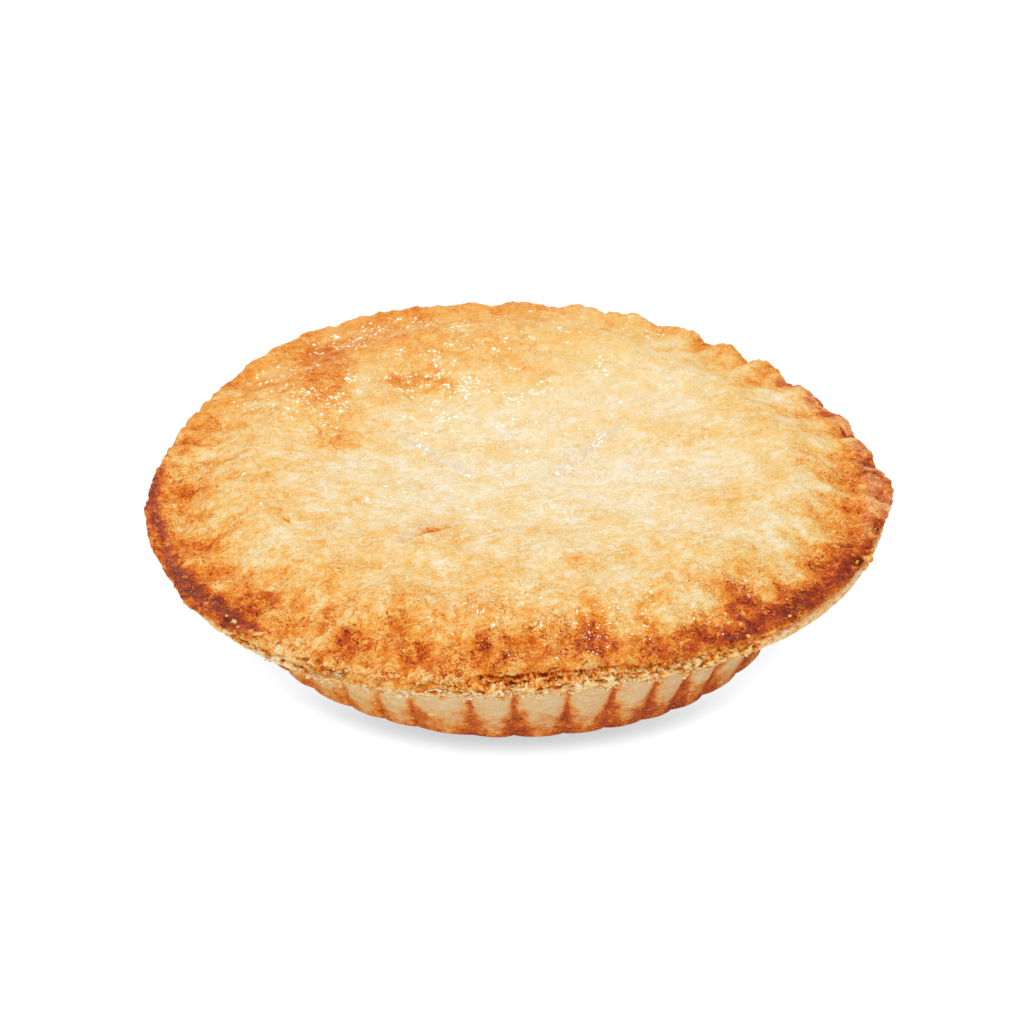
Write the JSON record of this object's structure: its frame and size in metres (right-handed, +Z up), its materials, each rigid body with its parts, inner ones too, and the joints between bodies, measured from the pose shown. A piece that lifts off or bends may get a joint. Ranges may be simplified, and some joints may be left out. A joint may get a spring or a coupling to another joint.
{
  "type": "cherry pie",
  "caption": "Whole round double-crust fruit pie with a slumped lid, slit vents, a crimped rim and a fluted wall, flat underneath.",
  "frame": {"origin": "on the surface the pie rests on, under the middle of its round foot", "axes": "+Z up out of the lid, -Y towards the side the picture shows, +X to that view's right"},
  "size_m": [0.2326, 0.2302, 0.0465],
  "materials": {
    "bottom_crust": "pale baked pastry, matte",
    "lid_crust": "golden baked pastry, matte with a few glossy specks"
  },
  "bodies": {
    "root": {"bottom_crust": "bottom_crust", "lid": "lid_crust"}
  },
  "joints": []
}
